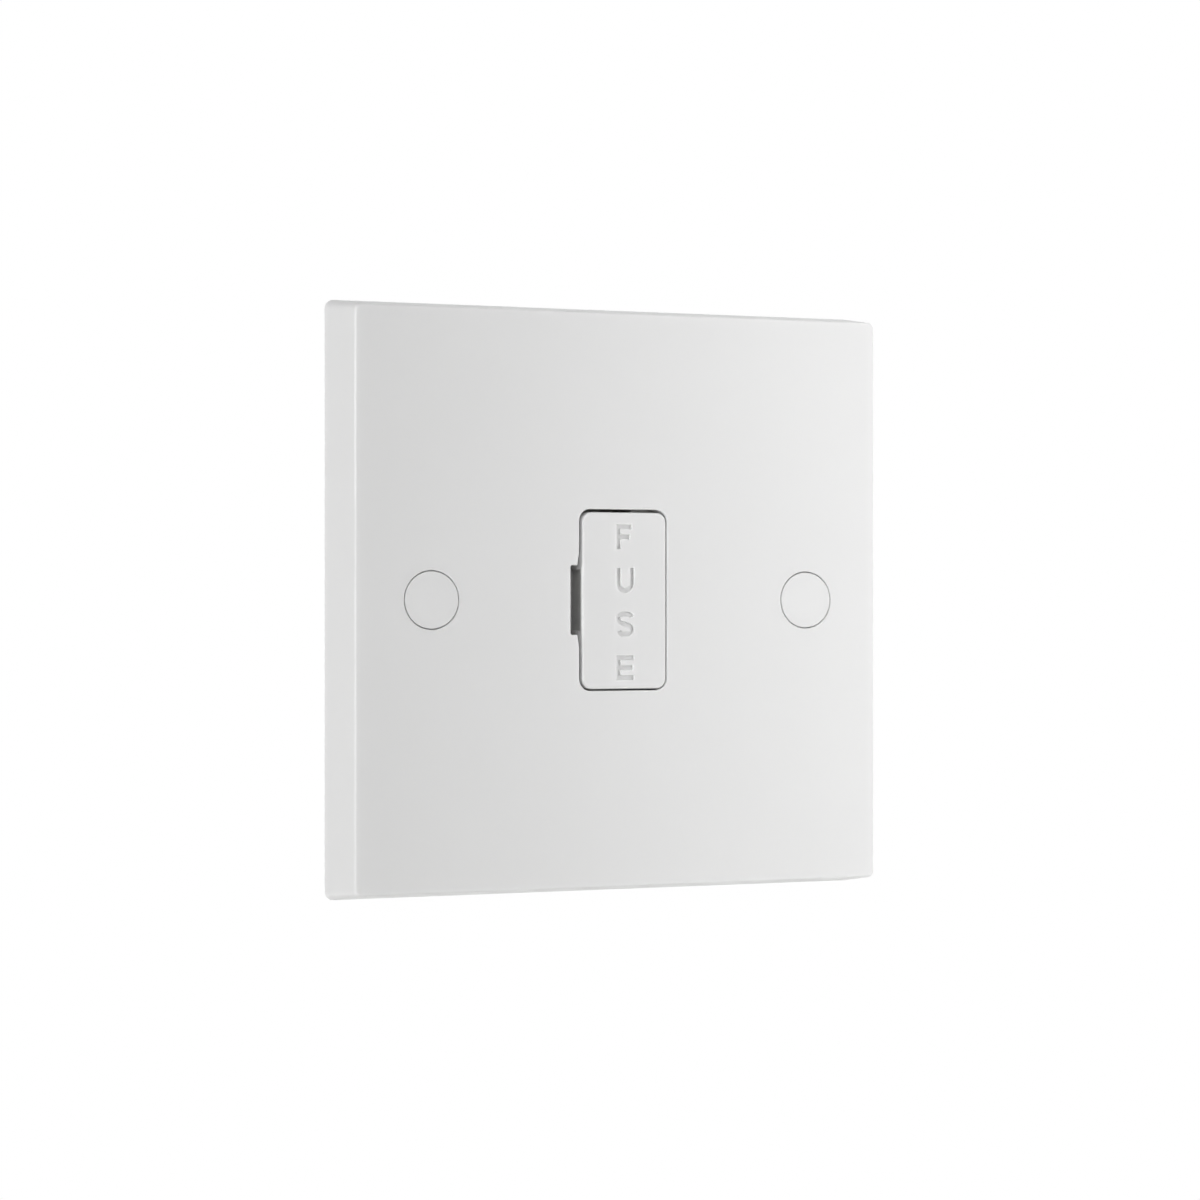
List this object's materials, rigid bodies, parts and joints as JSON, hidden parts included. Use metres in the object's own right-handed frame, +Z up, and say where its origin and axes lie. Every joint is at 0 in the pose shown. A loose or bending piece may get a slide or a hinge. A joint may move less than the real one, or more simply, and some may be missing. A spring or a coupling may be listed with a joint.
{
  "type": "fused spur unit",
  "caption": "Square white wall plate of a fused spur unit, with a flush pull-out fuse carrier, round screw covers and a rear housing of brass pillar terminals.",
  "frame": {"origin": "centre of the plate's rear rim, midway between the two box fixings, in the plane of the wall", "axes": "+X right and +Z up as seen on the wall, +Y into the wall; the front faces -Y"},
  "size_m": [0.086, 0.0235, 0.086],
  "materials": {
    "plate_white": "moulded, semi-gloss",
    "base_white": "moulded, satin",
    "terminal_brass": "sawn and drilled",
    "screw_brass": "turned",
    "clip_brass": "rolled strip",
    "zinc_steel": "zinc-plated",
    "fuse_ceramic": "unglazed tube",
    "fuse_cap_metal": "nickel-plated"
  },
  "bodies": {
    "housing": {"front_plate": "plate_white", "rear_base": "base_white", "fuse_clip_supply": "clip_brass", "fuse_clip_load": "clip_brass", "neutral_link": "terminal_brass", "earth_link": "terminal_brass", "supply_earth_terminal": "terminal_brass", "supply_live_terminal": "terminal_brass", "supply_neutral_terminal": "terminal_brass", "load_earth_terminal": "terminal_brass", "load_live_terminal": "terminal_brass", "load_neutral_terminal": "terminal_brass", "supply_earth_screw": "screw_brass", "supply_live_screw": "screw_brass", "supply_neutral_screw": "screw_brass", "load_earth_screw": "screw_brass", "load_live_screw": "screw_brass", "load_neutral_screw": "screw_brass", "housing_screw_upper_left": "zinc_steel", "housing_screw_upper_right": "zinc_steel", "housing_screw_lower_left": "zinc_steel", "housing_screw_lower_right": "zinc_steel"},
    "carrier": {"fuse_carrier": "plate_white", "fuse_barrel": "fuse_ceramic", "fuse_cap_upper": "fuse_cap_metal", "fuse_cap_lower": "fuse_cap_metal"},
    "cover_left": {"screw_cap_left": "plate_white"},
    "cover_right": {"screw_cap_right": "plate_white"}
  },
  "joints": [
    {"name": "carrier_slide", "type": "slide", "parent": "housing", "child": "carrier", "axis": [0, -1, 0], "range_m": [0, 0.0094]},
    {"name": "cover_left_pull", "type": "slide", "parent": "housing", "child": "cover_left", "axis": [0, -1, 0], "range_m": [0, 0.006]},
    {"name": "cover_right_pull", "type": "slide", "parent": "housing", "child": "cover_right", "axis": [0, -1, 0], "range_m": [0, 0.006]}
  ]
}
